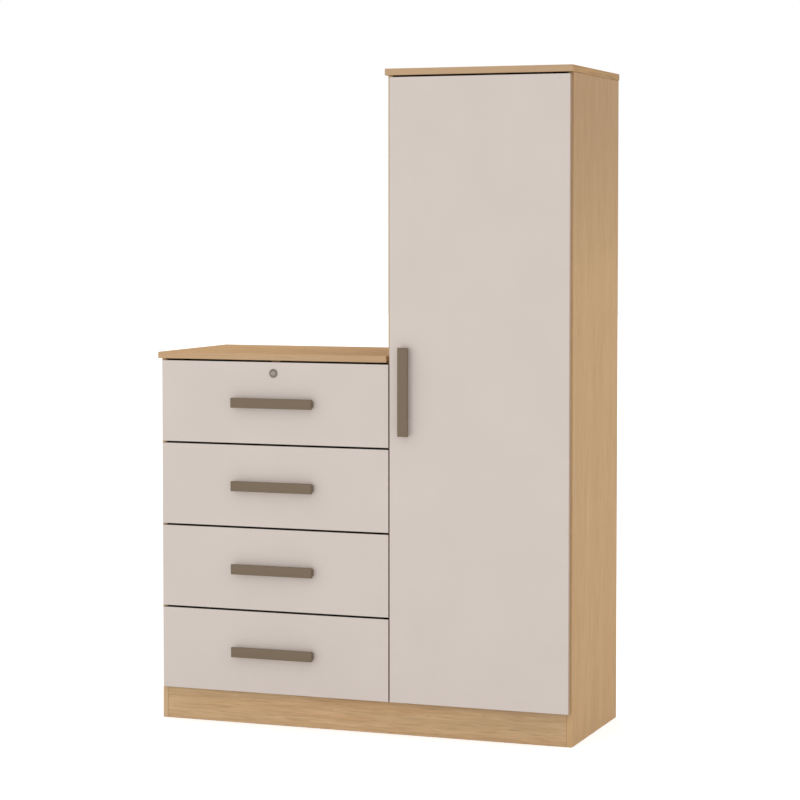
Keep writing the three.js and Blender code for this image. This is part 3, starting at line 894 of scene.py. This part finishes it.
def round_a_sheet(name):
    """Places at an even pitch along the four edges of a back sheet."""
    low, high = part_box(name)
    left, right = low.x + NAIL_INSET, high.x - NAIL_INSET
    bottom, top = low.z + NAIL_INSET, high.z - NAIL_INSET
    across = max(2, round((right - left) / NAIL_PITCH))
    up = max(2, round((top - bottom) / NAIL_PITCH))
    points = [(left + (right - left) * i / across, z) for i in range(across + 1) for z in (bottom, top)]
    points += [(x, bottom + (top - bottom) * i / up) for i in range(1, up) for x in (left, right)]
    return [((x, high.y, z), "back") for x, z in points]


nails = round_a_sheet("chest_back") + round_a_sheet("wardrobe_back")
fittings("back_nails", nail, nails, "carcass", satin)

dot = disc(5.0, 1.2, 0.4, 24)
base_low, base_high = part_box("wardrobe_base")
door_low, door_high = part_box("door")
dot_height = (door_low.z + base_high.z) / 2
dot_row = (base_low.x + BUMPER_INSET, base_high.x - BUMPER_INSET)
dots = [((x, door_high.y, dot_height), "back") for x in dot_row]
bumper = lacquer("bumper_felt", FELT_GREY, 0.6)
fittings("door_bumpers", dot, dots, "door", bumper)
for used in (screw, handle_screw, flat_screw, cam_cap, small_cap, fine_screw, pin, nail, dot):
    bpy.data.objects.remove(used)


# Hanging rail, oval, with its ends in the sockets


def oval_rail():
    low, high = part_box("hanging_rail")
    wide = (high.y - low.y) / 2
    rail = block(low, high)
    pick_edges(lambda at, way: abs(way.x) > ALONG)
    bpy.ops.mesh.bevel(offset=wide * 0.999, segments=10, affect="EDGES")
    eased(rail, 0.3 * MM, 1)
    rail.name = "oval_rail"
    belongs(rail, "carcass", nodes["hanging_rail"].material_slots[0].material)
    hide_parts("hanging_rail")


oval_rail()


# Floor, light and background. The floor's glow is seen by the eye and by gloss, and lights nothing.

FLOOR_SIZE = 60
FLOOR_TONE = (0.9, 0.9, 0.9, 1)
FLOOR_GLOW = 0.42
ROOM_LEVEL = 0.945


def pale_floor():
    bpy.ops.mesh.primitive_plane_add(size=FLOOR_SIZE)
    floor = bpy.context.object
    floor.name = "floor"
    f = Finish("floor", 0.9, tone=FLOOR_TONE)
    f.shader.inputs["Specular IOR Level"].default_value = 0
    path = f.node("LightPath")
    seen = f.math("MAXIMUM", path.outputs["Is Camera Ray"], path.outputs["Is Glossy Ray"])
    seen = f.math("MAXIMUM", seen, path.outputs["Is Transmission Ray"])
    glow = f.node("Emission", {"Color": (1, 1, 1, 1), "Strength": f.math("MULTIPLY", seen, FLOOR_GLOW)})
    both = f.node("AddShader", {0: f.shader.outputs[0], 1: glow.outputs[0]})
    f.tree.links.new(both.outputs[0], f.tree.nodes["Material Output"].inputs["Surface"])
    floor.data.materials.append(f.material)


def white_room():
    """Even light all round, and plain white to look at."""
    world = bpy.data.worlds.new("studio")
    bpy.context.scene.world = world
    world.use_nodes = True
    tree = world.node_tree
    lit = tree.nodes["Background"]
    lit.inputs["Color"].default_value = (1, 1, 1, 1)
    lit.inputs["Strength"].default_value = ROOM_LEVEL
    shown = tree.nodes.new("ShaderNodeBackground")
    shown.inputs["Color"].default_value = (1, 1, 1, 1)
    shown.inputs["Strength"].default_value = 1
    path = tree.nodes.new("ShaderNodeLightPath")
    either = tree.nodes.new("ShaderNodeMath")
    either.operation = "MAXIMUM"
    any_of = tree.nodes.new("ShaderNodeMath")
    any_of.operation = "MAXIMUM"
    mix = tree.nodes.new("ShaderNodeMixShader")
    tree.links.new(path.outputs["Is Camera Ray"], either.inputs[0])
    tree.links.new(path.outputs["Is Glossy Ray"], either.inputs[1])
    tree.links.new(either.outputs[0], any_of.inputs[0])
    tree.links.new(path.outputs["Is Transmission Ray"], any_of.inputs[1])
    tree.links.new(any_of.outputs[0], mix.inputs[0])
    tree.links.new(lit.outputs[0], mix.inputs[1])
    tree.links.new(shown.outputs[0], mix.inputs[2])
    tree.links.new(mix.outputs[0], tree.nodes["World Output"].inputs["Surface"])


def soft_lamp(name, place, aim, size, power):
    lamp = bpy.data.lights.new(name, "AREA")
    lamp.shape = "DISK"
    lamp.size = size
    lamp.energy = power
    made = bpy.data.objects.new(name, lamp)
    made.location = place
    made.rotation_euler = (Vector(aim) - Vector(place)).to_track_quat("-Z", "Y").to_euler()
    bpy.context.scene.collection.objects.link(made)


pale_floor()
white_room()
soft_lamp("key", (-1.5, -7.0, 0.7), (0, 0, 0.4), 3.0, 43)
soft_lamp("fill", (-0.3, -3.2, 0.2), (0, 0, 0.25), 1.8, 5)
